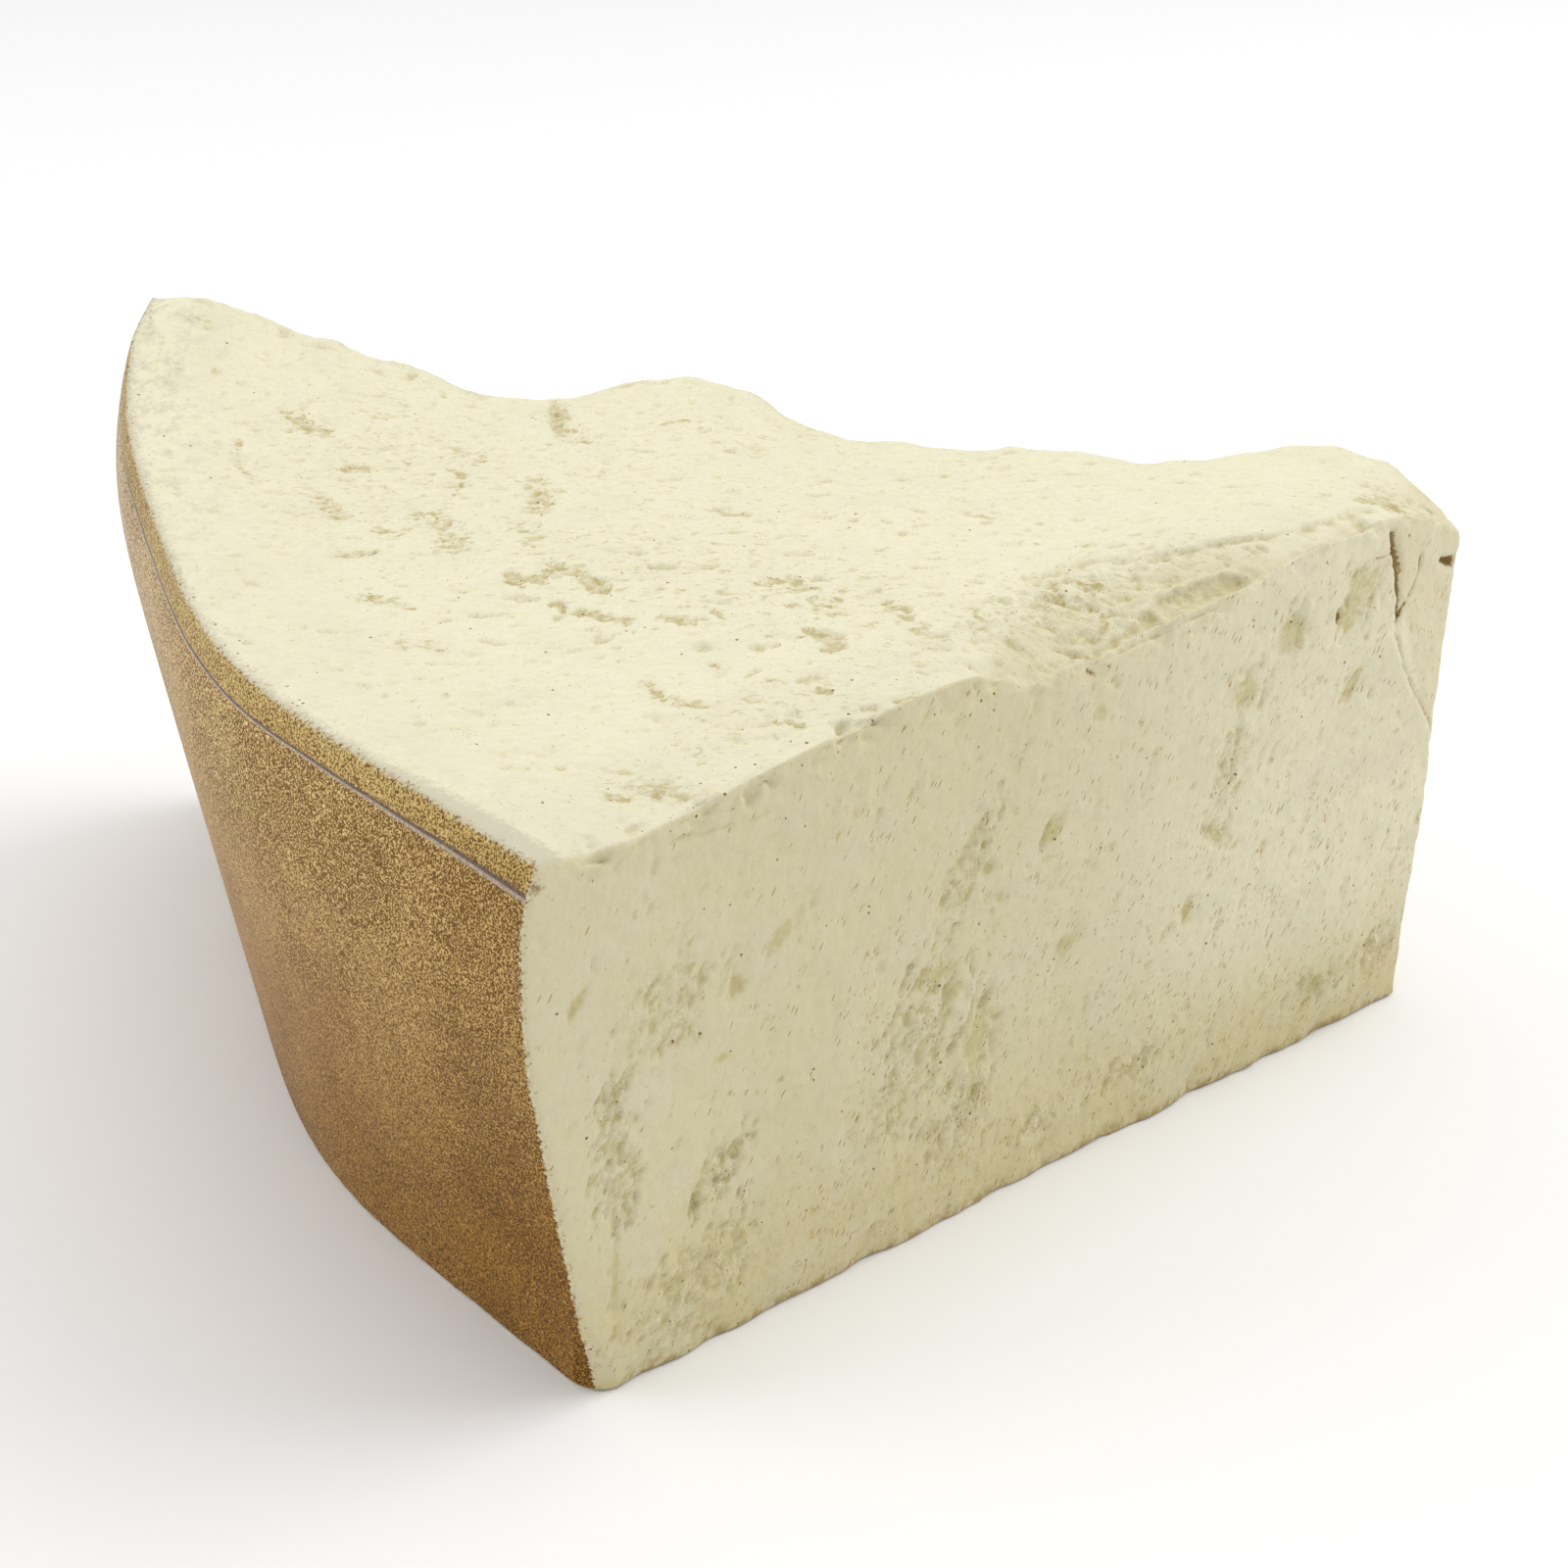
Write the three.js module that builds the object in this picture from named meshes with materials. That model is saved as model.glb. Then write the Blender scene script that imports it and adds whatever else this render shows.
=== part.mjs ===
// Imitation parmesan chunk for a cheese counter: one cast wedge of a wheel, with a barrel-shaped rind,
// a hand-broken top, two broken sides that meet at a blunt tip, and a flat base to stand on.
//
// Wedge axes, in millimetres: x runs along the near side from the rind corner to the tip, y runs from
// the near side to the back, z is up from the base. The finished wedge is turned and shifted once, so
// that its chord across the rind lies along Y and its origin is the middle of its footprint.

import * as THREE from 'three';
import { mergeVertices } from 'three/addons/utils/BufferGeometryUtils.js';

// Plan
const NEAR_EDGE = 225; // rind corner to tip, along the near side
const BACK_CORNER = new THREE.Vector2(66, 239); // where the back side meets the rind
const TIP_BACK = new THREE.Vector2(230.5, 29.5); // where the back side meets the blunt tip
const TIP_SWELL = 3; // how far the middle of the tip stands out of its chord
const TIP_SWELL_FROM = 0.8; // share of the way from the rind at which the swell sets in

// Rind in plan: it leaves the near corner almost square to the near side and turns in two bends
const RIND_START_SLOPE = -0.05;
const RIND_BENDS = [
  { from: 44, length: 92, turn: 0.432 },
  { from: 169, length: 116, turn: 0.722 },
];

// Rind in profile, as offsets out of its top edge
const BELLY_NEAR_HEIGHT = 80; // where the rind bulges most, at the near corner
const BELLY_BACK_HEIGHT = 101; // and at the back corner
const BELLY = 3.35; // how far it bulges there
const BELLY_ROUND = 5; // the belly eases into a straight taper over about this height
const TAPER = 0.184; // inward run for each millimetre down to the foot
const LIP_HEIGHT = 10.7; // the last stretch below the top edge rounds over

// Top
const TOP_AT_RIND = 109.4;
const TIP_RISE = 5.5; // the near side climbs this much from the rind towards the tip
const TIP_RISE_FROM = 25;
const TIP_RISE_TO = 85;
const TIP_RISE_DEPTH_FROM = 20; // behind the near side the climb fades out between these depths
const TIP_RISE_DEPTH_TO = 170;
const CORNER_RISE = 12.7; // the top climbs towards the back corner, by this much if the climb ended
const CORNER_RISE_FROM = 155;
const CORNER_RISE_TO = 285;

// Chipped edge between the top and the near side: a deep chip that runs on towards the tip as a bevel
const CHIP_FROM = 90;
const CHIP_TO = 205;
const CHIP_WIDTH = 17.5;
const CHIP_SKEW = 0.7; // below 1 the chip is widest nearer the rind
const CHIP_DROP = 7.4;
const CHIP_STARTS = [93, 106]; // the chip reaches its full drop between these places
const CHIP_TURNS = [152, 178]; // here it eases into the bevel
const CHIP_ENDS = [188, 205]; // and here the bevel runs out
const BEVEL_DROP = 2.3;

// Snapped-off facet at the top of the tip, bounded by a crack in the near side
const FACET_X = 205;
const FACET_HIGH = 91; // below this height the crack slants out to the tip
const FACET_LOW = 64;
const FACET_DEPTH = 5;
const FACET_REACH = 1.3; // the facet's outer edge stands out this share of its depth past the tip

// Mesh density
const STEPS_ALONG = 28;
const STEPS_DEEP = 30;
const STEPS_UP = 12;
const NEAR_DENSITY = 1.35; // above 1 the rows lie closer together towards the near side

// Place of the wedge's own zero (the near rind corner, on the base) in the finished part
const CHORD_ANGLE = Math.PI / 2 - BACK_CORNER.angle();
const RIND_CORNER = new THREE.Vector3(-96.65, -124.05, 0);

// Hills and dips of the top: centre, half-lengths along and across, height. The ones that are placed
// by their distance along the back edge lie along that edge.
const TOP_RELIEF = [
  { x: 17, y: 0, along: 16, across: 25, rise: -2.2 },
  { x: 170, y: 8, along: 40, across: 23, rise: 4.2 },
  { x: 234, y: -2, along: 17, across: 18, rise: -14 },
  { back: 6, along: 18, across: 22, rise: 3 },
  { back: 34, along: 16, across: 24, rise: 1.2 },
  { back: 86, along: 14, across: 30, rise: -2.8 },
  { back: 104, along: 12, across: 30, rise: 2.2 },
  { back: 128, along: 18, across: 32, rise: 4.2 },
  { back: 158, along: 13, across: 28, rise: -3.2 },
  { back: 190, along: 26, across: 36, rise: -4.8 },
  { back: 222, along: 12, across: 26, rise: -3 },
];

// Hollows (negative) and swells of the back side, by distance along the back edge and height.
const BACK_RELIEF = [
  { along: 34, up: 90, halfLength: 34, halfHeight: 60, out: 8 },
  { along: 74, up: 85, halfLength: 8, halfHeight: 45, out: -3 },
  { along: 112, up: 95, halfLength: 26, halfHeight: 45, out: 10 },
  { along: 150, up: 88, halfLength: 9, halfHeight: 40, out: -3 },
  { along: 215, up: 92, halfLength: 26, halfHeight: 45, out: -4.5 },
  { along: 150, up: 30, halfLength: 40, halfHeight: 26, out: -4 },
  { along: 60, up: 28, halfLength: 34, halfHeight: 22, out: 3 },
];
const BACK_RELIEF_START = 0.06; // share of the back side, from the rind, over which its relief sets in
const BACK_RELIEF_DEPTH = 4; // a higher power keeps the back relief closer to the back side

// Hollows and swells of the near side, by distance from the rind corner and height.
const NEAR_RELIEF = [
  { along: 122, up: 26, halfLength: 24, halfHeight: 20, out: -3.5 },
  { along: 44, up: 40, halfLength: 14, halfHeight: 22, out: -1.5 },
  { along: 186, up: 72, halfLength: 16, halfHeight: 14, out: -2 },
  { along: 205, up: 30, halfLength: 14, halfHeight: 26, out: 1.2 },
];

const backDirection = TIP_BACK.clone().sub(BACK_CORNER).normalize();

const smooth = THREE.MathUtils.smoothstep;
const bell = (offset, halfWidth) => Math.exp(-((offset / halfWidth) ** 2));

// How far a plan point lies along the back edge, and how far in front of it.
function fromBack(x, y) {
  const dx = x - BACK_CORNER.x;
  const dy = y - BACK_CORNER.y;
  return {
    along: dx * backDirection.x + dy * backDirection.y,
    inside: dx * backDirection.y - dy * backDirection.x,
  };
}

function reliefAt(x, y) {
  const edge = fromBack(x, y);
  let rise = 0;
  for (const hill of TOP_RELIEF) {
    const along = hill.back === undefined ? x - hill.x : edge.along - hill.back;
    const across = hill.back === undefined ? y - hill.y : edge.inside;
    rise += hill.rise * bell(along, hill.along) * bell(across, hill.across);
  }
  return rise;
}

// The chip is lens-shaped in plan, and deepest at the near side.
function chipDrop(x, y) {
  const share = (x - CHIP_FROM) / (CHIP_TO - CHIP_FROM);
  if (share <= 0 || share >= 1) {
    return 0;
  }
  const width = CHIP_WIDTH * Math.sin(Math.PI * share ** CHIP_SKEW);
  const slope = THREE.MathUtils.clamp(1 - y / width, 0, 1);
  const deepest = THREE.MathUtils.lerp(CHIP_DROP, BEVEL_DROP, smooth(x, ...CHIP_TURNS));
  return deepest * slope * smooth(x, ...CHIP_STARTS) * (1 - smooth(x, ...CHIP_ENDS));
}

function topHeight(x, y) {
  const fade = 1 - smooth(y, TIP_RISE_DEPTH_FROM, TIP_RISE_DEPTH_TO);
  const tipRise = TIP_RISE * smooth(x, TIP_RISE_FROM, TIP_RISE_TO) * fade;
  const cornerRise = CORNER_RISE * smooth(y, CORNER_RISE_FROM, CORNER_RISE_TO);
  return TOP_AT_RIND + tipRise + cornerRise + reliefAt(x, y) - chipDrop(x, y);
}

function sideRelief(relief, along, up) {
  let out = 0;
  for (const spot of relief) {
    out += spot.out * bell(along - spot.along, spot.halfLength) * bell(up - spot.up, spot.halfHeight);
  }
  return out;
}

// The facet runs in from the crack, which stands upright above FACET_HIGH and slants out below it.
function facetDepth(x, z) {
  const height = THREE.MathUtils.clamp(z, FACET_LOW, FACET_HIGH);
  const crackX = THREE.MathUtils.mapLinear(height, FACET_HIGH, FACET_LOW, FACET_X, NEAR_EDGE);
  return FACET_DEPTH * THREE.MathUtils.clamp((x - crackX) / (NEAR_EDGE - FACET_X), 0, 1);
}

// One bend of the rind: straight, then turning smoothly by the given slope, then straight again.
function bendRun(bend, y) {
  const share = THREE.MathUtils.clamp((y - bend.from) / bend.length, 0, 1);
  const inBend = bend.length * (share ** 3 - share ** 4 / 2);
  return bend.turn * (inBend + Math.max(0, y - bend.from - bend.length));
}

function rindX(y) {
  return RIND_BENDS.reduce((x, bend) => x + bendRun(bend, y), RIND_START_SLOPE * y);
}

// How far the rind stands out of its top edge, at a share of the way round and a height.
function rindOffset(deep, z, top) {
  const bellyHeight = THREE.MathUtils.lerp(BELLY_NEAR_HEIGHT, BELLY_BACK_HEIGHT, deep);
  const below = Math.max(0, bellyHeight - z);
  const taper = TAPER * (Math.hypot(below, BELLY_ROUND) - BELLY_ROUND);
  const lip = THREE.MathUtils.clamp(1 - (top - z) / LIP_HEIGHT, 0, 1);
  return BELLY * (1 - lip ** 2) - taper;
}

// A point of the rind, at a share of the way from the near corner to the back corner.
function rindPoint(deep, up) {
  const y = BACK_CORNER.y * deep;
  const edge = new THREE.Vector2(rindX(y), y);
  const top = topHeight(edge.x, edge.y);
  const outward = new THREE.Vector2(-1, rindX(y + 0.5) - rindX(y - 0.5)).normalize();
  return edge.addScaledVector(outward, rindOffset(deep, up * top, top));
}

// Turns a point of the unit block (along, deep, up, each 0 to 1) into a point of the wedge.
function wedgePoint(along, deep, up) {
  const tip = new THREE.Vector2(NEAR_EDGE, 0).lerp(TIP_BACK, deep);
  const plan = rindPoint(deep, up).lerp(tip, along);
  const z = up * topHeight(plan.x, plan.y);
  const swell = TIP_SWELL * 4 * deep * (1 - deep) * smooth(along, TIP_SWELL_FROM, 1);
  const backShare = deep ** BACK_RELIEF_DEPTH * smooth(along, 0, BACK_RELIEF_START);
  const backOut = backShare * sideRelief(BACK_RELIEF, fromBack(plan.x, plan.y).along, z);
  const facet = (1 - deep) * facetDepth(plan.x, z);
  const nearOut = (1 - deep) * sideRelief(NEAR_RELIEF, plan.x, z) - facet;
  plan.x += swell + FACET_REACH * facet - backDirection.y * backOut;
  plan.y += backDirection.x * backOut - nearOut;
  return new THREE.Vector3(plan.x, plan.y, z);
}

// A block whose six sides become the rind, the tip, the two broken sides, the top and the base.
function chunkGeometry() {
  const block = new THREE.BoxGeometry(1, 1, 1, STEPS_ALONG, STEPS_DEEP, STEPS_UP);
  block.deleteAttribute('normal');
  block.deleteAttribute('uv');
  const merged = mergeVertices(block);
  const position = merged.attributes.position;
  for (let i = 0; i < position.count; i++) {
    const deep = Math.max(0, position.getY(i) + 0.5) ** NEAR_DENSITY;
    const point = wedgePoint(position.getX(i) + 0.5, deep, position.getZ(i) + 0.5);
    position.setXYZ(i, point.x, point.y, point.z);
  }
  merged.computeVertexNormals();
  return merged;
}

const chunk = new THREE.Mesh(
  chunkGeometry(),
  new THREE.MeshStandardMaterial({ color: 0xe6dcb8, roughness: 0.62, metalness: 0 }),
);
chunk.name = 'parmesan_chunk';
chunk.rotation.z = CHORD_ANGLE;
chunk.position.copy(RIND_CORNER);

const part = new THREE.Group();
part.add(chunk);

export default part;
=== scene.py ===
"""Looks of the imitation parmesan chunk: one cast wedge, painted cream with a speckled brown rind.

The CAD chunk gives the form. Here it is meshed finely, its edges are rounded, the relief of the broken
faces is pressed into it, and the paint is laid over it. Places on the chunk are in its wedge axes, in
millimetres: x runs along the near side from the rind corner to the tip, y from the near side to the
back, and z up from the base.
"""

import itertools
import math
from collections import namedtuple

import bmesh
import bpy
import numpy as np
from mathutils import Euler, Matrix, Vector
from mathutils.kdtree import KDTree


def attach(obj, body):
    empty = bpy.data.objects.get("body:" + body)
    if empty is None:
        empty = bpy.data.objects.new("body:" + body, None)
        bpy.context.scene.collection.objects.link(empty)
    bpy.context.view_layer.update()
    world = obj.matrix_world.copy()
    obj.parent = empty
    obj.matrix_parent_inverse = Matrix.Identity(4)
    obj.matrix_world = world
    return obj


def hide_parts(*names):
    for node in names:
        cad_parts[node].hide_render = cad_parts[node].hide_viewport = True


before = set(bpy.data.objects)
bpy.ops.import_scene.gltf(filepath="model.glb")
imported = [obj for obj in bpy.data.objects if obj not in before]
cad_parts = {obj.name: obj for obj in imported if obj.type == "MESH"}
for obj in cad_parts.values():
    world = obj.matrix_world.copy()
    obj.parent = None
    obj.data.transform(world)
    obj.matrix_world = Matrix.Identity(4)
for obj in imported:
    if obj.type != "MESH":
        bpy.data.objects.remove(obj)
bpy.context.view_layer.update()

NODE = "parmesan_chunk"
MM = 0.001

# Wedge axes in the part's frame
BACK_CORNER = Vector((66, 239))
TIP_BACK = Vector((230.5, 29.5))
RIND_CORNER = Vector((-96.65, -124.05, 0))
CHORD_ANGLE = math.pi / 2 - math.atan2(BACK_CORNER.y, BACK_CORNER.x)
WEDGE_TO_PART = Matrix.Scale(MM, 4) @ Matrix.Translation(RIND_CORNER) @ Matrix.Rotation(CHORD_ANGLE, 4, "Z")

# Fine mesh
VOXEL = 0.65  # mm between vertices
RIND_FACES = 0.72  # a face is rind if it looks this much towards RIND_WAY
CREASE_ANGLE = math.radians(38)
EDGE_ROUNDING = 18  # smoothing passes

# Which way each side of the chunk faces, in wedge axes
UP = np.array((0.0, 0.0, 1.0))
NEAR_WAY = np.array((0.0, -1.0, 0.0))
BACK_ALONG = (TIP_BACK - BACK_CORNER).normalized()
BACK_WAY = np.array((-BACK_ALONG.y, BACK_ALONG.x, 0.0))
RIND_WAY = np.array((-0.92, 0.38, 0.0))
TIP_WAY = np.array((0.98, -0.18, 0.0))

# Seam of the mould, round the rind
SEAM_BELOW_EDGE = 5.6
SEAM_WIDTH = 0.6
SEAM_DEPTH = 0.4
SEAM_WOBBLE = 0.35
SEAM_WAVE = 18
SEAM_END = (-0.3, 0, 104.5)  # a blob of brown sits where the seam meets the near side

# Edges
FOOT_WEAR = 5.0  # the foot of the corner at the rind is cut back by this much each way
FOOT_BITE = 1.5  # the foot of the near side goes in and out by this much
FOOT_WAVE = 13
EDGE_BITE = 5.0  # nicks in the edge between the top and the near side
EDGE_REACH = 4.5  # to each side of the edge
NICK_SIZE = 9
BACK_BITE = 2.6  # the back edge goes up and down by this much
BACK_WAVE = (19, 22)  # along the edge, and in from it
CORNER_MIDDLE = (70, 228, 114)  # the back corner is fuller about here
CORNER_FULL = 4.0
CORNER_REACH = 20
CORNER_TIP = (64, 239, 112)  # and its point is rounded off
CORNER_CUT = 4.0
CORNER_CUT_WAY = np.array((0.35, -0.9, 0.0))

# How the faces were wiped, with slants in degrees from x
TOP_SMEAR = -41
SIDE_SMEAR = 68
WIPED_ACROSS = (0, math.radians(14.9), math.radians(49.0))  # turns x to where it is square to both of these
SMEAR_STRETCH = 2.4  # marks are drawn out this much
FLECK_SLANT = 62

# How far marks are felt
LINE_REACH = 6.0  # a step beside a line fades out over this distance
WASH_AND_SHADE_SPREAD = 16  # averaging passes: the olive wash and the painted shade settle where it is lower than about 2 mm around

# Relief all over the broken faces: how wide, and how deep
WAVE_SIZE = 34
WAVE_DEPTH = 0.7
LUMP_SIZE = 9
LUMP_DEPTH = 0.25
BACK_LUMP_DEPTH = 0.4
KNOB_SIZE = 13
KNOB_DEPTH = 0.4
GRAIN_SIZE = 2.6
GRAIN_DEPTH = 0.22
SMEAR_SIZE = (9, 2.4)  # along and across
SMEAR_DEPTH = 0.3
RIDGE_SIZE = (11, 45)  # across and up
RIDGE_DEPTH = 0.3
RIDGE_LEAN = 0.35
BACK_RIDGE_SIZE = (9, 40)
BACK_RIDGE_DEPTH = 0.6
RAGGED_SIZE = 2.6  # the rims of marks
FLAKE_SIZE = 3.8
CRUMB_SIZE = 3.6

# Single marks: (u, v, half length, half width, slant in degrees, depth), in millimetres.
# On the top u is x and v is y; on the near side u is x and v is z.
TOP_HOLLOWS = [
    (66, 157, 1.5, 1.5, 0, 0.28),
    (88, 143, 1.4, 2.6, -42, 0.39),
    (116, 156, 13, 1.8, 56, 0.99),  # crease to the left of the hump
    (134.5, 111, 1.8, 2.4, -59, 0.33),
    (87.5, 34.5, 2.6, 2.2, -66, 0.5),
    (107.7, 18.3, 4.2, 1.2, 66, 0.33),
    (23, 12, 3.2, 1.5, -42, 0.33),
    (31, 8.6, 4.8, 2.2, -51, 0.39),
    (132.7, 15.7, 3.4, 1.8, -40, 0.7),  # pits in the chip
    (126, 16.2, 3.2, 1.5, 80, 0.6),
    (128.5, 7, 1.5, 1.2, 0, 0.5),
    (127.1, 5.4, 1.4, 1.0, 0, 0.5),
    (116.6, 4.8, 2.4, 1.4, -30, 0.6),
    (144.3, 14.6, 1.3, 0.9, 0, 0.4),
    (143.1, 6.3, 1.3, 0.9, 0, 0.4),
    (146, 6.6, 1.3, 0.8, 0, 0.4),
    (209.8, 8.9, 5.6, 3.6, 74, 0.5),  # on the tip
    (225.3, 9.5, 1.6, 1.3, 0, 0.8),
    (204.6, 11.6, 1.3, 1.0, 0, 0.6),
]
# Crumbly patches are rough besides: (u, v, half length, half width, slant, depth, roughness)
TOP_ROUGH = [
    (127, 14, 11, 8, 0, 0.2, 0.4),
    (110, 16, 10, 9, 30, 0.1, 0.25),
    (214, 10, 10, 7, 60, 0.2, 0.4),
    (30, 10, 9, 5, -50, 0.1, 0.25),
]
# Creases with one steep side
TOP_SLITS = [
    (33.4, 96.8, 2.8, 1.1, -65, 0.5),
    (35.4, 90.7, 3.4, 1.0, -59, 0.39),
    (40.5, 117, 2.8, 1.1, -49, 0.33),
    (129, 131, 4.4, 1.1, -41, 0.44),
    (107.3, 84.2, 3.2, 1.3, -62, 0.55),
    (116, 95.2, 1.2, 1.6, -56, 0.44),
    (98.6, 29.5, 2.8, 1.3, -75, 0.5),
    (100.6, 20.5, 1.8, 1.1, -66, 0.44),
    (143, 54.6, 4.8, 1.4, -75, 0.55),
    (107, 85.3, 3.2, 1.6, -60, 0.39),
    (75.4, 0.8, 2.8, 1.3, -42, 0.44),
    (49.7, 24.7, 2.2, 0.9, -70, 0.44),
]
NEAR_HOLLOWS = [
    (174.2, 98.6, 5.6, 5.4, 6, 0.61),  # olive hollows under the chip
    (162, 90, 5.4, 4.0, -6, 0.83),
    (196.5, 81.5, 5.0, 2.4, 75, 0.77),
    (195, 103, 6.5, 6.0, 0, 0.55),
    (191.5, 98, 5.0, 4.0, 20, 0.4),
    (112.7, 76.6, 4.0, 2.8, 50, 0.72),
    (123, 97.6, 2.0, 2.0, 35, 0.44),
    (159, 60.8, 5.0, 2.0, -39, 0.44),
    (153.4, 46.4, 2.6, 2.2, 79, 0.94),
    (97, 74.5, 1.4, 1.7, 50, 0.5),
    (100, 68, 1.6, 1.8, 45, 0.5),
    (86, 56.7, 6.4, 3.4, -7, 0.88),
    (91, 51.7, 3.0, 2.4, -11, 0.77),
    (98.2, 37.5, 9.5, 5.0, 80, 1.16),
    (120.7, 49.4, 4.2, 3.2, 46, 0.55),
    (7.3, 81.7, 3.0, 1.6, 49, 0.66),
    (40, 72, 3.0, 1.6, 56, 0.83),
    (49, 78, 4.4, 1.8, 42, 0.5),
    (38, 58.4, 2.2, 1.2, -14, 0.33),
    (14.7, 22.8, 12, 1.0, 89, 0.39),
]
NEAR_SLITS = [
    (68.8, 68.6, 3.0, 0.8, 79, 0.33),
]
NEAR_ROUGH = [
    (25.6, 74, 9, 8.5, 38, 0.44, 0.45),
    (14.4, 51.6, 15, 4.5, 96, 0.66, 0.7),
    (38.7, 35.3, 8, 4.2, 44, 0.66, 0.7),
    (32, 14, 16, 10, 30, 0.39, 0.6),
    (80.8, 40.7, 15, 9, 68, 0.5, 0.55),
    (95.2, 22, 8, 7.5, 67, 0.66, 0.7),
    (116.6, 11, 6, 2.6, 10, 0.44, 0.6),
    (141.9, 14, 7, 3.0, 10, 0.44, 0.6),
    (215.9, 15.7, 6.5, 5, 0, 0.44, 0.7),
    (198, 14, 7.5, 4.4, 0, 0.39, 0.5),
    (92, 76, 17, 4.0, 57, 0.28, 0.5),
    (161, 74, 15, 5.0, 80, 0.22, 0.45),
]

# Broad zones where thin flakes came off: (u, v, half length, half width, slant, depth, strength)
TOP_ZONES = [
    (84, 66, 66, 30, -64, 0.10, 0.8),
    (72, 150, 48, 34, 60, 0.14, 0.8),
    (128, 14, 34, 14, 0, 0.3, 0.9),
    (120, 110, 80, 40, -50, 0.05, 0.5),
    (60, 14, 50, 12, 0, 0.10, 0.7),
]
NEAR_ZONES = [
    (95, 50, 60, 30, 65, 0.06, 0.4),
    (175, 70, 50, 34, 80, 0.10, 0.5),
    (112, 12, 110, 14, 0, 0.15, 0.75),
]

# Lines: (depth, half width, drop, brown, places). The surface to the right of the line lies lower by the
# drop. A negative depth is a ridge.
TOP_LINES = [
    # Upper boundary of the chip and the bevel
    (0.45, 0.45, 0.7, 0.25, [(121, 20), (127, 22.7), (134.4, 23.8), (139.3, 22.4), (142.6, 18.2), (148.8, 16),
                            (153, 14.1), (160.8, 12.2), (164.4, 10.6), (172.3, 7.7), (177.7, 6.4)]),
    (0.1, 0.6, 0.8, 0.0, [(177.7, 6.4), (186.5, 6.6), (196.8, 8.3), (203, 8)]),
    # Torn ridges in the chip
    (-0.9, 0.7, 0.9, 0.0, [(140, 7.7), (146.2, 6.8), (151.1, 6.3), (157.2, 5.7), (162.1, 3.1)]),
    (-0.7, 0.7, 0.4, 0.0, [(138.1, 1), (143.2, 1.6), (147.9, 1.9), (152.4, 1.5), (158.4, 0.5)]),
    (-1.0, 0.8, 0.0, 0.0, [(108.5, 0.8), (116.9, 2), (122.7, 1.2), (129.5, 2.1), (138, 1.3), (143.2, 1.6)]),
    (-0.8, 0.6, 0.0, 0.0, [(129.3, 2.4), (136.3, 1.8), (145, 1.6), (153.8, 1.3), (162.9, 0.6)]),
    (-0.8, 0.7, 0.6, 0.0, [(117.5, 2.9), (125.8, 3.8), (131, 4), (136.6, 5.9), (140.9, 6.3)]),
    (-0.4, 0.7, 0.3, 0.0, [(117.5, 2.9), (116.9, 6), (114.7, 10), (113.4, 13.9)]),
    (0.8, 1.2, 0.0, 0.2, [(153.7, 3.2), (157.5, 2.6), (162.1, 1.6)]),
    # Facets of the tip
    (-0.7, 0.7, 1.0, 0.0, [(196.8, 8.3), (194.8, 0.8), (201.8, 0.7), (210.3, 3.7)]),
]
NEAR_LINES = [
    # Cracks at the tip
    (1.7, 0.95, -0.5, 1.2, [(201.1, 113.5), (204.4, 105.9), (207, 97.9), (207.9, 91.8)]),
    (0.5, 0.5, 0.0, 0.5, [(196, 108.5), (200.5, 108), (204.5, 108.3)]),
    (0.6, 0.45, 0.0, 0.6, [(204.5, 108.3), (207.8, 101.8)]),
    (1.0, 0.7, 0.0, 0.9, [(207.9, 91.8), (209.5, 94.3), (211.1, 96)]),
    (0.8, 0.55, 0.0, 0.6, [(214.2, 105.1), (214.8, 101.5), (213.4, 98), (211.1, 96)]),
    (0.9, 0.5, -0.8, 0.4, [(207.2, 90.6), (211, 82.3), (217, 73.8), (223, 66.1), (225.5, 60)]),
    (1.4, 0.7, 0.0, 1.0, [(223.5, 100.6), (227.5, 99)]),
    (2.4, 1.1, 0.0, 1.2, [(227, 99.2), (234, 97.2)]),
    # Slit and threads
    (1.3, 0.9, 0.0, 0.9, [(187.8, 100.6), (188.6, 97)]),
    (0.5, 0.5, 0.0, 0.7, [(118.1, 108.2), (120.9, 105.6)]),
    (0.6, 0.7, 0.0, 0.3, [(124.5, 103.8), (126.8, 101.6)]),
    (0.3, 0.35, 0.0, 0.3, [(24, 104), (36, 103), (48, 102)]),
    # Smooth rim on the left of the big hollow
    (-0.7, 1.6, 0.0, 0.0, [(94.6, 48.3), (93, 45.1), (92.5, 40.7), (94.2, 35.2), (98.1, 30.4),
                           (103.6, 26.4)]),
]

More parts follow.
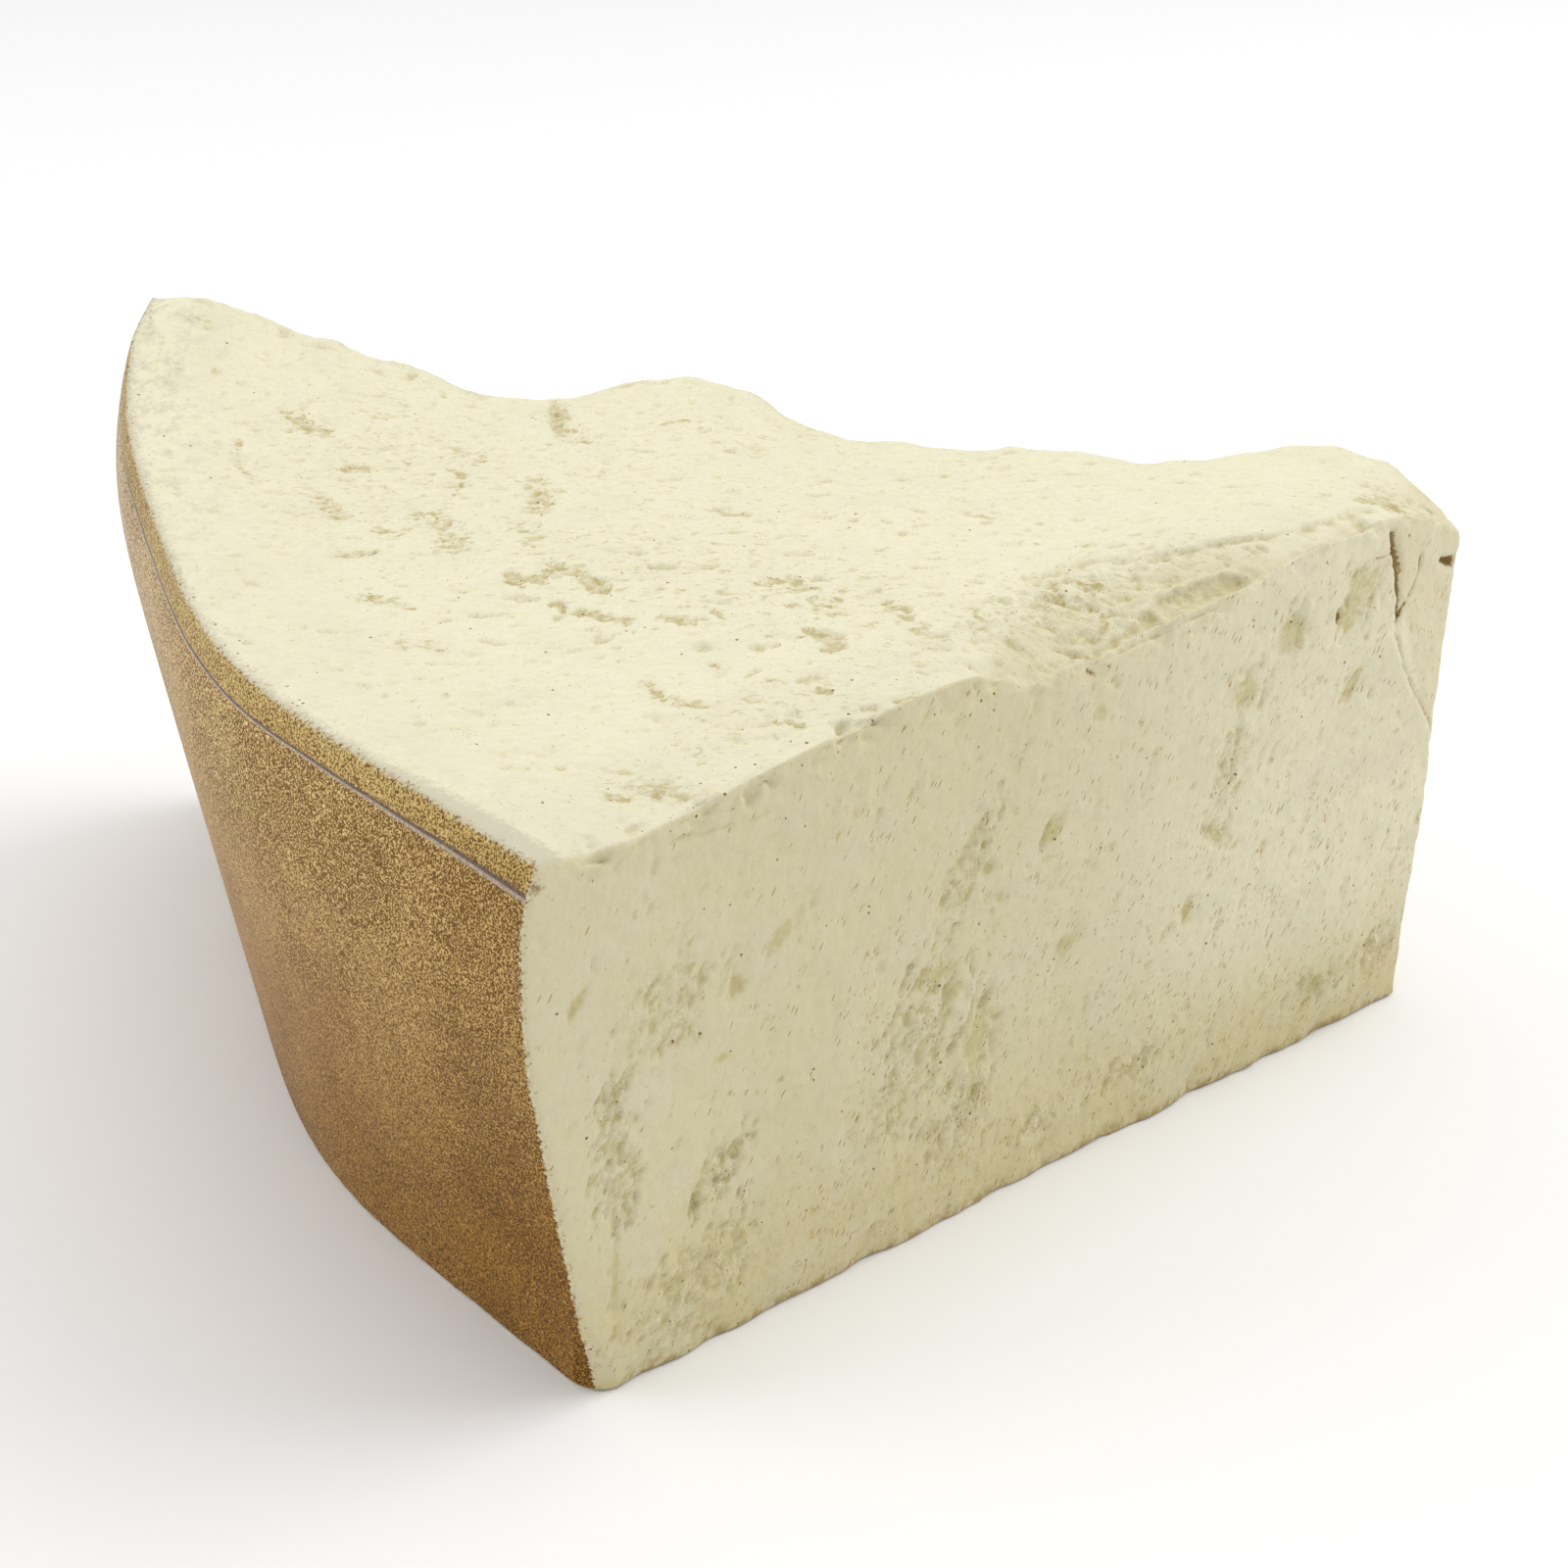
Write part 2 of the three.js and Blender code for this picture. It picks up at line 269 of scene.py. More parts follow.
# Trails of thin stained flakes on the top: (half width, depth, strength, places)
TOP_TRAILS = [
    (1.6, 0.15, 0.8, [(69.6, 223.7), (70.7, 222.4)]),
    (2.6, 0.3, 1.0, [(69.4, 186.9), (69.6, 183), (69.7, 179), (70.9, 174.4)]),
    (1.2, 0.3, 0.8, [(53.6, 180.3), (50.2, 175.6), (48.2, 169.9), (46.8, 163.6), (46.7, 161.2)]),
    (3.0, 0.25, 0.8, [(52.2, 145.8), (50.9, 140.1), (49.2, 134.9)]),
    (1.8, 0.2, 0.8, [(64.1, 157.4), (66.9, 154.5)]),
    (2.0, 0.2, 0.8, [(78.3, 157), (75.7, 150.2)]),
    (1.8, 0.2, 0.9, [(88.6, 153.5), (87.5, 148.5)]),
    (1.6, 0.2, 0.9, [(80.2, 141.3), (79.1, 137.5)]),
    (0.9, 0.3, 0.7, [(61.2, 121.8), (68.7, 126.9), (76.5, 133.4), (86.3, 142.6), (95.1, 150.2)]),
    (3.0, 0.3, 1.0, [(88.8, 125.3), (85.5, 119), (80.7, 112)]),
    (3.0, 0.25, 0.8, [(72.9, 107.1), (73.4, 103.7), (68.2, 95.1)]),
    (3.4, 0.3, 0.9, [(62.1, 124.4), (61.5, 119.5), (60.5, 113.6), (56.7, 106.7)]),
    (3.0, 0.2, 0.7, [(119.1, 160.6), (113.1, 149.2), (109.5, 139.1)]),
    (2.0, 0.45, 1.1, [(57.3, 88.8), (57, 83.7), (59.7, 84.4), (65, 86.4), (66.2, 83.1), (65.8, 77.7),
                      (64.8, 71.9)]),
    (2.2, 0.4, 1.0, [(56.5, 86.7), (58.6, 81.9)]),
    (1.6, 0.4, 1.05, [(55.9, 72.8), (57.3, 67.3), (58.8, 62.1), (60.3, 57)]),
    (1.6, 0.35, 1.0, [(64.5, 53.4), (66.9, 49.6), (69.2, 47.5)]),
    (0.8, 0.3, 1.0, [(73.2, 51.4), (72, 45)]),
    (2.6, 0.3, 0.9, [(87.7, 52.9), (91.7, 50.8), (91.2, 45.1), (88.4, 40.2), (85.8, 40.7)]),
    (1.4, 0.25, 0.8, [(98.4, 43.5), (94, 39.2), (90.1, 37.2)]),
    (0.9, 0.3, 0.9, [(74, 34.8), (78.8, 29)]),
    (2.4, 0.6, 1.2, [(80.1, 30), (80.3, 26.6), (78.7, 23.9)]),
    (1.8, 0.3, 1.0, [(105.3, 88.7), (106.4, 85.6), (108, 82.8)]),
    (1.6, 0.3, 0.9, [(31.9, 98.8), (35.4, 93.8)]),
    (1.6, 0.2, 0.8, [(50.8, 125.1), (52.9, 120)]),
    (1.8, 0.2, 0.7, [(39, 119.5), (44.3, 115)]),
    (2.0, 0.2, 0.7, [(28.1, 77.9), (31.1, 72.6)]),
    (1.3, 0.3, 0.9, [(49.9, 38.1), (47.5, 31.6), (48.3, 28.3), (50, 25)]),
    (1.3, 0.35, 1.1, [(55.8, 12.2), (56.6, 10.5), (57.3, 7.9)]),
    (1.2, 0.2, 0.9, [(63.7, 22.2), (64, 20)]),
    (1.2, 0.2, 0.9, [(67.5, 13.9), (67.9, 12.1)]),
    (1.2, 0.2, 0.9, [(60, 33.8), (61, 32.2)]),
    (2.0, 0.3, 0.9, [(98.6, 32.1), (98.9, 29.6), (97.7, 25.5)]),
    (2.6, 0.2, 0.7, [(98.6, 32.1), (94.9, 19.2), (93.4, 12.6)]),
    (2.4, 0.5, 1.1, [(205.5, 11.1), (207.6, 8), (208.3, 4.8)]),
    (1.2, 0.5, 1.1, [(224, 9.7), (226.6, 9.2)]),
]

# Marks at seeded random places: (count, seed, u range, v range, sizes, depths, slant)
TOP_SCATTER = (110, 1, (14, 190), (-4, 190), (0.6, 1.6), (0.15, 0.4), -55)
NEAR_SCATTER = (60, 2, (20, 220), (6, 105), (0.6, 1.8), (0.15, 0.5), 65)

# On the back side u runs along its edge from the corner, and v is z
BACK_ZONES = [(130, 55, 160, 60, 0, 0.15, 0.6)]
BACK_HOLLOWS = (26, 5, (24, 250), (12, 84), (2.0, 6.0), (0.4, 1.0), 70)
BACK_SLITS = (60, 6, (10, 255), (6, 105), (0.6, 1.8), (0.15, 0.5), 65)

# The near side is painted paler up to the long crack: partly a fresh break, partly painted light falling
# stronger towards the tip
CRACK_TOP = (201, 113)  # x and z
CRACK_LEAN = 0.45

# The chip between the top and the near side is lens-shaped in plan, and torn out in scoops
CHIP_FROM = 92
CHIP_TO = 205
CHIP_WIDTH = 24
CHIP_SKEW = 0.62
CHIP_SCOOPS_END = (150, 176)  # between these the scoops give way to a smooth bevel
CHIP_SCOOP = np.array((13.0, 3.2, 3.2))
CHIP_ROUGHNESS = 1.1

# Small bowls side by side, wherever a face is torn
CHISEL_SIZE = 2.6
CHISEL_TORN = 0.22
CHISEL_CHIP = 0.35

# Paint colours, linear. Those named LOW are for the part by the foot.
# The top is painted lighter than the sides, as if lit from above; the sides carry painted shade and are
# yellower from overspray.
CREAM_TOP = (0.81, 0.772, 0.575, 1)
CREAM_SIDE_SPRAYED_AND_SHADED = (0.69, 0.632, 0.415, 1)
CREAM_LOW = (0.62, 0.535, 0.29, 1)
# Paler cream of the fresh break, also used for painted light and painted highlights
CREAM_FRESH_AND_LIT = (0.80, 0.75, 0.55, 1)
CREAM_DULL = (0.69, 0.655, 0.49, 1)
OLIVE = (0.49, 0.405, 0.165, 1)
OLIVE_PALE = (0.54, 0.47, 0.205, 1)
OLIVE_GREY = (0.45, 0.39, 0.165, 1)
FLECK_BROWN = (0.14, 0.065, 0.015, 1)
FLECK_TAN = (0.30, 0.165, 0.03, 1)
CRACK_BROWN = (0.25, 0.145, 0.035, 1)
RIND_GOLD = (0.66, 0.47, 0.185, 1)
RIND_GOLD_LOW = (0.40, 0.205, 0.033, 1)
RIND_BROWN = (0.165, 0.08, 0.018, 1)
RIND_BROWN_LOW = (0.10, 0.04, 0.005, 1)
RIND_ROSY = (0.44, 0.25, 0.12, 1)
RIND_GRAIN = (0.80, 0.62, 0.29, 1)
RIND_GRAIN_LOW = (0.52, 0.30, 0.075, 1)
COLLAR_GOLD = (0.50, 0.37, 0.11, 1)
# Painted sheen: grey paint standing in for a grazing reflection on the far part of the rind
RIND_FAR_SHEEN = (0.60, 0.54, 0.46, 1)
SEAM_DARK = (0.12, 0.09, 0.075, 1)
# Painted highlight beside the seam
SEAM_HIGHLIGHT = (0.46, 0.41, 0.36, 1)
FRINGE_GREY = (0.52, 0.48, 0.37, 1)
SMUDGE = (0.60, 0.57, 0.44, 1)

# The paint's patterns, in millimetres
WORN_SIZE = 1.8
FINE_SIZE = 0.7
TORN_SIZE = 1.1
FRINGE_SIZE = 0.8
SCRATCH_SIZE = 1.1
PEEL_SIZE = 0.9
SPECKLE_SIZE = 0.38
FLECK_SPACING = 0.95
FLECK_STRETCH = (4.2, 0.46, 0.46)
DOT_SPACING = 1.4
GRAIN_SPACING = 1.1
BLOT_SPACING = 1.4
SMUDGE_SIZE = 4
ROSY_SIZE = 22
PATCH_SIZE = 26
STAIN_SIZE = 2.6
CROWD_SIZE = 11
DULL_SIZE = 14
BUMP_HEIGHT = 0.0006  # metres

# Camera, in wedge axes
CAMERA_SPOT = Vector((-201.92, -287.54, 305.40))
CAMERA_AZIMUTH = -0.7154
CAMERA_ELEVATION = 0.4798
CAMERA_ROLL = 0.0313
SENSOR = 36.0
FOCAL_LENGTH = 61.875

# Stage, in metres and watts
FLOOR_HALF = 3.0
FLOOR_GREY = (0.93, 0.93, 0.93, 1)
SKY_STRENGTH = 0.62
LIGHTS_AIM = Vector((0, 0, 0.05))
SOFTBOXES = [  # (name, spot, size, power)
    ("overhead", Vector((0.0, 0.2, 2.0)), 2.6, 12),
    ("key", Vector((1.3, -0.2, 1.35)), 1.4, 13.5),
    ("rind_side", Vector((-1.4, 0.5, 0.5)), 1.0, 8),
]


# -------- Noise

LATTICE_PRIMES = np.array((73856093, 19349663, 83492791), np.int64)
SLOPES = np.array([s for s in itertools.product((-1, 0, 1), repeat=3) if sum(map(abs, s)) == 2], float)


def hashed(cells, seed):
    """A scrambled whole number for each lattice cell."""
    key = (cells * LATTICE_PRIMES).sum(1) + seed * 2654435761
    key = (key ^ (key >> 15)) * 2246822519 & 0xFFFFFFFF
    key = (key ^ (key >> 13)) * 3266489917 & 0xFFFFFFFF
    return key ^ (key >> 16)


def noise(points, seed=0):
    """Smooth lattice noise, between about -1 and 1."""
    cell = np.floor(points).astype(np.int64)
    inside = points - cell
    ease = inside ** 3 * (inside * (inside * 6 - 15) + 10)
    total = np.zeros(len(points))
    for corner in itertools.product((0, 1), repeat=3):
        slope = SLOPES[hashed(cell + corner, seed) % len(SLOPES)]
        share = np.where(corner, ease, 1 - ease).prod(1)
        total += share * (slope * (inside - corner)).sum(1)
    return total


def layered(points, layers, seed=0, decay=0.5):
    """Noise of halving size and fading height."""
    total = np.zeros(len(points))
    height = 1.0
    for layer in range(layers):
        total += height * noise(points * 2 ** layer, seed + layer)
        height *= decay
    return total


def scoops(points, seed=0):
    """Bowls side by side with crisp rims: about -0.4 in the middle of a bowl, 0.6 on a rim."""
    cell = np.floor(points).astype(np.int64)
    height = np.full(len(points), 9.0)
    for step in itertools.product((-1, 0, 1), repeat=3):
        other = cell + step
        key = hashed(other, seed)
        middle = other + np.stack([(key >> shift & 255) / 255 for shift in (0, 8, 16)], 1)
        size = (key >> 24 & 255) / 255
        height = np.minimum(height, ((points - middle) ** 2).sum(1) - 0.4 * size)
    return height


def ramp(value, low, high):
    """0 at low, 1 at high, with soft ends."""
    share = np.clip((value - low) / (high - low), 0, 1)
    return share * share * (3 - 2 * share)


def fade(value, low, high):
    """1 at low, 0 at high, with soft ends."""
    return 1 - ramp(value, low, high)


# -------- Form

def quad_cage(node):
    """The CAD chunk as a welded cage of quads in wedge axes, with its edges marked as creases."""
    cage = bmesh.new()
    cage.from_mesh(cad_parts[node].data)
    bmesh.ops.transform(cage, matrix=WEDGE_TO_PART.inverted(), verts=cage.verts)
    bmesh.ops.remove_doubles(cage, verts=cage.verts, dist=0.001)
    cage.normal_update()
    crease = cage.edges.layers.float.new("crease_edge")
    for edge in cage.edges:
        edge[crease] = 1.0 if edge.calc_face_angle(0) > CREASE_ANGLE else 0.0
    bmesh.ops.join_triangles(cage, faces=cage.faces, angle_face_threshold=0.5, angle_shape_threshold=1.2)
    cage.normal_update()
    return cage


def along_edge(edge):
    """Points about a millimetre apart on an edge of the cage."""
    start, end = (vert.co for vert in edge.verts)
    steps = max(1, round((end - start).length))
    return [start.lerp(end, step / steps) for step in range(steps + 1)]


def rind_outline(cage):
    """Points on the edges of the rind: (top edge, whole outline)."""
    top_edge, outline = [], []
    for edge in cage.edges:
        ways = [np.array(face.normal) for face in edge.link_faces]
        on_rind = [way @ RIND_WAY > RIND_FACES for way in ways]
        if sorted(on_rind) != [False, True] or edge.calc_face_angle(0) < CREASE_ANGLE:
            continue
        other = ways[on_rind.index(False)]
        if other[2] < -0.5:
            continue  # the rind's paint runs on under the base
        outline += along_edge(edge)
        if other[2] > 0.5:
            top_edge += along_edge(edge)
    return top_edge, outline


def near_edge(cage):
    """Points on the edge between the top and the near side."""
    points = []
    for edge in cage.edges:
        ways = [np.array(face.normal) for face in edge.link_faces]
        if max(way @ UP for way in ways) > 0.6 and max(way @ NEAR_WAY for way in ways) > 0.6:
            points += along_edge(edge)
    return points


def rounded_body(cage):
    """An even, fine mesh of the cage's smooth form with rounded edges."""
    mesh = bpy.data.meshes.new(NODE)
    cage.to_mesh(mesh)
    body = bpy.data.objects.new("parmesan_chunk_body", mesh)
    bpy.context.scene.collection.objects.link(body)
    curve = body.modifiers.new("curve", "SUBSURF")
    curve.levels = curve.render_levels = 2
    fine = body.modifiers.new("fine", "REMESH")
    fine.mode = "VOXEL"
    fine.voxel_size = VOXEL
    rounding = body.modifiers.new("rounding", "SMOOTH")
    rounding.factor = 0.5
    rounding.iterations = EDGE_ROUNDING
    graph = bpy.context.evaluated_depsgraph_get()
    smooth = bpy.data.meshes.new_from_object(body.evaluated_get(graph))
    body.modifiers.clear()
    body.data = smooth
    return body


def distances(spots, points):
    """How far each spot is from the nearest of the points."""
    tree = KDTree(len(points))
    for index, point in enumerate(points):
        tree.insert(point, index)
    tree.balance()
    return np.array([tree.find(spot)[2] for spot in spots])


class Skin:
    """The fine mesh's vertices, and which side of the chunk each is on."""

    def __init__(self, body, cage):
        self.mesh = body.data
        count = len(self.mesh.vertices)
        flat = np.empty(count * 3, np.float32)
        self.mesh.vertices.foreach_get("co", flat)
        self.spot = flat.reshape(-1, 3).astype(float)
        self.mesh.vertex_normals.foreach_get("vector", flat)
        self.out = flat.reshape(-1, 3).astype(float)
        self.x, self.y, self.z = self.spot.T
        from_corner = self.spot[:, :2] - np.array(BACK_CORNER)
        self.along_back = from_corner @ np.array(BACK_ALONG)
        self.past_back = from_corner @ BACK_WAY[:2]
        self.top = ramp(self.out @ UP, 0.45, 0.8)
        self.base = fade(self.out @ UP, -0.8, -0.45)
        self.near = ramp(self.out @ NEAR_WAY, 0.5, 0.8)
        self.back = ramp(self.out @ BACK_WAY, 0.5, 0.8)
        self.tip = ramp(self.out @ TIP_WAY, 0.55, 0.85) * (1 - self.back)
        self.rind = ramp(self.out @ RIND_WAY, 0.45, 0.8)
        top_edge, outline = rind_outline(cage)
        self.below_lip = distances(self.spot, top_edge)
        self.rind_inside = distances(self.spot, outline) * (2 * self.rind - 1)
        self.below_edge = distances(self.spot, near_edge(cage))
        self.sunk = np.zeros(count)  # how far the relief goes in, millimetres
        self.shift = np.zeros((count, 3))  # how far the form moves besides
        self.tint = {}  # paint masks, 0 to 1

    def stain(self, name, where, values):
        """Lays one of the paint masks over some of the vertices."""
        mask = self.tint.setdefault(name, np.zeros(len(self.spot)))
        mask[where] = np.maximum(mask[where], values)

    def spread(self, values, passes):
        """The values averaged over their neighbours, again and again."""
        ends = np.empty(len(self.mesh.edges) * 2, np.int32)
        self.mesh.edges.foreach_get("vertices", ends)
        one, other = ends.reshape(-1, 2).T
        count = len(values)
        share = 1 + np.bincount(one, minlength=count) + np.bincount(other, minlength=count)
        for _ in range(passes):
            around = np.bincount(one, values[other], count) + np.bincount(other, values[one], count)
            values = (values + around) / share
        return values

    def settled(self, moves):
        """The moves, evened out along the edges, where they would cross over one another."""
        bluntness = np.linalg.norm([self.spread(axis, 8) for axis in self.out.T], axis=0)
        edge = fade(bluntness, 0.9, 0.985)
        even = np.stack([self.spread(axis, 14) for axis in moves.T], 1)
        return moves + edge[:, None] * (even - moves)

    def write(self):
        """Moves the vertices and stores the paint masks as attributes."""
        moved = self.spot + self.settled(self.shift - self.out * self.sunk[:, None])
        self.mesh.vertices.foreach_set("co", moved.astype(np.float32).ravel())
        for name, values in self.tint.items():
            mask = self.mesh.attributes.new(name, "FLOAT", "POINT")
            mask.data.foreach_set("value", values.astype(np.float32))
        self.mesh.update()


# -------- Relief

Face = namedtuple("Face", "u v side ragged flakes")


def slanted(u, v, degrees):
    """Places along and across a way that slants by so many degrees from u."""
    turn = math.radians(degrees)
    return u * math.cos(turn) + v * math.sin(turn), v * math.cos(turn) - u * math.sin(turn)


def face_of(u, v, side, smear, seed):
    """A face: places on it, its weight, and noise drawn out the way it was wiped."""
    on = side > 0
    along, across = slanted(u[on], v[on], smear)
    drawn = np.stack([along / SMEAR_STRETCH, across, np.full(on.sum(), 0.37)], 1)
    ragged, flakes = np.zeros(len(u)), np.zeros(len(u))
    ragged[on] = layered(drawn / RAGGED_SIZE, 3, seed, 0.65)
    flakes[on] = layered(drawn / FLAKE_SIZE, 3, seed + 5, 0.65)
    return Face(u, v, side, ragged, flakes)


def reach(face, mark):
    """The vertices about a mark, how far out they are (1 at its rim), and how far across it."""
    cu, cv, half_length, half_width, slant = mark[:5]
    size = 2.2 * max(half_length, half_width) + 1
    close = np.flatnonzero((np.abs(face.u - cu) < size) & (np.abs(face.v - cv) < size) & (face.side > 0))
    along, across = slanted(face.u[close] - cu, face.v[close] - cv, slant)
    return close, np.hypot(along / half_length, across / half_width), across / half_width


def press_hollows(skin, face, marks, soft, mask):
    """Shallow hollows with ragged rims, stained in the middle."""
    for mark in marks:
        close, far, _ = reach(face, mark)
        ragged = far + 0.8 * face.ragged[close]
        shape = fade(ragged, 0.7 - soft / 2, 1.2 + soft) * face.side[close]
        skin.sunk[close] += mark[5] * shape * (0.8 + 0.7 * face.flakes[close])
        skin.stain(mask, close, fade(far, 0.2, 1.35) * face.side[close])


def press_trails(skin, face, trails):
    """Thin flakes have come off along these lines, and the wash has stayed in the places."""
    for half_width, depth, strength, places in trails:
        close, off, _ = from_line(face, places, 2 * half_width)
        cover = strength * fade(np.abs(off) / half_width, 0.3, 1.9)
        broken = 0.6 * face.ragged[close] + 0.6 * layered(skin.spot[close] / 1.9, 2, 97)
        flakes = ramp(broken + 1.3 * (cover - 1), -0.45, -0.1) * face.side[close]
        skin.sunk[close] += depth * flakes
        skin.stain("hollow", close, flakes * (0.45 + 0.55 * cover))
        skin.stain("torn", close, ramp(cover, 0, 0.6) * face.side[close])


def press_slits(skin, face, marks):
    """Creases with a steep far wall and a gentle near one."""
    for mark in marks:
        close, far, across = reach(face, mark)
        ragged = far + 0.7 * face.ragged[close]
        shape = fade(ragged, 0.6, 1.25) * face.side[close] * np.clip(0.55 + 0.45 * across, 0, 1)
        skin.sunk[close] += 0.7 * mark[5] * shape
        skin.stain("hollow", close, fade(far, 0.5, 1.3) * face.side[close] * min(1, 0.3 + mark[5]))


def press_rough(skin, face, marks, seed):
    """Crumbly patches: sunken, with grains standing in them."""
    for mark in marks:
        close, far, _ = reach(face, mark)
        shape = fade(far + 0.8 * face.ragged[close], 0.4, 1.4) * face.side[close]
        crumbs = np.abs(layered(skin.spot[close] / CRUMB_SIZE, 4, seed, 0.6))
        flakes = ramp(face.flakes[close] + 0.3 * (shape - 1), -0.05, 0.2)
        skin.sunk[close] += shape * (mark[5] * 0.6 + mark[6] * (0.5 * flakes + 2.0 * (0.25 - crumbs)))
        skin.stain("rough", close, shape * mark[6])
        skin.stain("torn", close, shape)


def press_zones(skin, face, zones):
    """Broad zones where thin flakes came off."""
    for zone in zones:
        close, far, _ = reach(face, zone)
        strength = zone[6] * fade(far, 0.2, 1.4)
        shape = ramp(face.flakes[close] + 0.55 * (strength - 1), 0.0, 0.16) * face.side[close]
        skin.sunk[close] += zone[5] * shape
        skin.stain("torn", close, strength * face.side[close])


def fresh_break_and_light(skin):
    """The near side is paler towards the tip, up to the long crack: partly a fresh break, partly painted
    light.
    """
    beyond = ramp(skin.x - CRACK_TOP[0] - CRACK_LEAN * (CRACK_TOP[1] - skin.z), -1, 2)
    skin.tint["fresh_and_lit"] = skin.near * ramp(skin.x, 90, 190) * ramp(skin.z, 5, 45) * (0.9 - 0.6 * beyond)


def wash_and_recess_shade(skin):
    """Olive where the surface lies lower than around it: partly a wash run into the recesses, partly painted
    shade in them.
    """
    depth = skin.sunk - skin.shift[:, 2]
    recess = depth - skin.spread(depth, WASH_AND_SHADE_SPREAD)
    skin.tint["recess"] = ramp(recess, 0.03, 0.4)


def from_line(face, places, margin):
    """The vertices about a broken line, their distance to its right, and their share of the way along."""
    low, high = np.min(places, 0) - margin, np.max(places, 0) + margin
    close = np.flatnonzero((face.u > low[0]) & (face.u < high[0]) & (face.v > low[1]) & (face.v < high[1])
                           & (face.side > 0))
    u, v = face.u[close], face.v[close]
    nearest = np.full(len(u), np.inf)
    signed = np.zeros(len(u))
    share = np.zeros(len(u))
    for leg, ((u0, v0), (u1, v1)) in enumerate(zip(places, places[1:])):
        du, dv = u1 - u0, v1 - v0
        along = np.clip(((u - u0) * du + (v - v0) * dv) / (du * du + dv * dv), 0, 1)
        gap_u, gap_v = u - u0 - along * du, v - v0 - along * dv
        gap = np.hypot(gap_u, gap_v)
        closer = gap < nearest
        nearest[closer] = gap[closer]
        signed[closer] = (gap * np.sign(dv * gap_u - du * gap_v))[closer]
        share[closer] = (leg + along[closer]) / (len(places) - 1)
    return close, signed, share


def press_lines(skin, face, lines):
    """Cracks, ridges and steps along broken lines."""
    for depth, half_width, drop, brown, places in lines:
        close, off, share = from_line(face, places, LINE_REACH)
        off += (0.2 if brown else 0.5) * face.ragged[close]
        ends = ramp(share, 0, 0.1) * fade(share, 0.9, 1)
        line = np.exp(-(off / half_width) ** 2) * (0.3 + 0.7 * ends) * face.side[close]
        step = ramp(off, -half_width, half_width) * fade(off, 0, LINE_REACH) * ends * face.side[close]
        skin.sunk[close] += depth * line + drop * step
        if brown:
            skin.stain("brown", close, line * brown)


def tear_chip(skin):
    """The chip is torn out in scoops that are drawn out along it."""
    share = np.clip((skin.x - CHIP_FROM) / (CHIP_TO - CHIP_FROM), 0, 1)
    width = CHIP_WIDTH * np.sin(np.pi * share ** CHIP_SKEW)
    inner = skin.top * (0.4 + 0.6 * ramp(skin.below_edge, 1, 5))
    rim = 0.4 * fade(skin.below_edge, 1, 6)
    torn = ramp(width - skin.y, 0, 3) * np.maximum(inner, rim)
    torn *= fade(skin.x, *CHIP_SCOOPS_END)
    torn *= 0.35 + 0.65 * ramp(skin.x, 108, 128)
    close = np.flatnonzero(torn > 0)
    spot = skin.spot[close]
    drawn = spot / CHIP_SCOOP + 0.35 * layered(spot / 6, 2, 71)[:, None]
    rims = scoops(drawn, 73) + 0.45 * scoops(drawn * 2.3, 75)
    skin.shift[close, 2] -= torn[close] * CHIP_ROUGHNESS * (0.3 - rims)
    skin.stain("torn", close, 0.6 * torn[close])
    skin.stain("chipped", close, torn[close])


def chisel(skin):
    """Small bowls side by side, drawn out the way the face was wiped, where it is torn."""
    torn = CHISEL_CHIP * skin.tint.pop("chipped") + CHISEL_TORN * skin.tint["torn"]
    close = np.flatnonzero(torn > 0.01)
    axis = np.array(Euler(WIPED_ACROSS).to_matrix())[:, 0]
    spot = skin.spot[close]
    across = (spot @ axis)[:, None] * axis
    drawn = across + (spot - across) / SMEAR_STRETCH
    rims = scoops(drawn / CHISEL_SIZE + 0.3 * noise(spot / 2.2, 77)[:, None], 79)
    skin.sunk[close] += torn[close] * (0.35 - rims)


def scatter(count, seed, u_range, v_range, size, depth, slant):
    """Small marks at seeded random places."""
    draw = np.random.default_rng(seed)
    return [(draw.uniform(*u_range), draw.uniform(*v_range), draw.uniform(*size), draw.uniform(*size) * 0.55,
             slant + draw.normal(0, 18), draw.uniform(*depth)) for _ in range(count)]


def general_relief(skin):
    """The uneven surface of the broken faces, away from any single mark."""
    cut = np.clip(skin.top + skin.near + skin.back + skin.tip, 0, 1)
    from_rind = fade(skin.rind_inside, -24, -4)
    waves = layered(skin.spot / WAVE_SIZE, 2, 11)
    skin.sunk += cut * (0.5 - WAVE_DEPTH * waves) * from_rind
    lumps = layered(skin.spot / LUMP_SIZE, 3, 21)
    lump_depth = LUMP_DEPTH * (skin.top + skin.near) + BACK_LUMP_DEPTH * skin.back
    skin.sunk += from_rind * lump_depth * (0.35 - lumps)
    far_left = skin.top * ramp(skin.y, 95, 165)
    knobs = np.abs(layered(skin.spot / KNOB_SIZE, 3, 23, 0.45))
    skin.sunk += KNOB_DEPTH * from_rind * far_left * (0.6 - np.minimum(knobs * 2.5, 1))
    grain = layered(skin.spot / GRAIN_SIZE, 3, 31)
    skin.sunk += GRAIN_DEPTH * cut * (0.3 + 0.7 * from_rind) * (0.3 - grain)
    along, across = slanted(skin.x, skin.y, TOP_SMEAR)
    smears = layered(np.stack([along / SMEAR_SIZE[0], across / SMEAR_SIZE[1], skin.z * 0], 1), 2, 37)
    skin.sunk += SMEAR_DEPTH * skin.top * from_rind * (0.3 - smears)


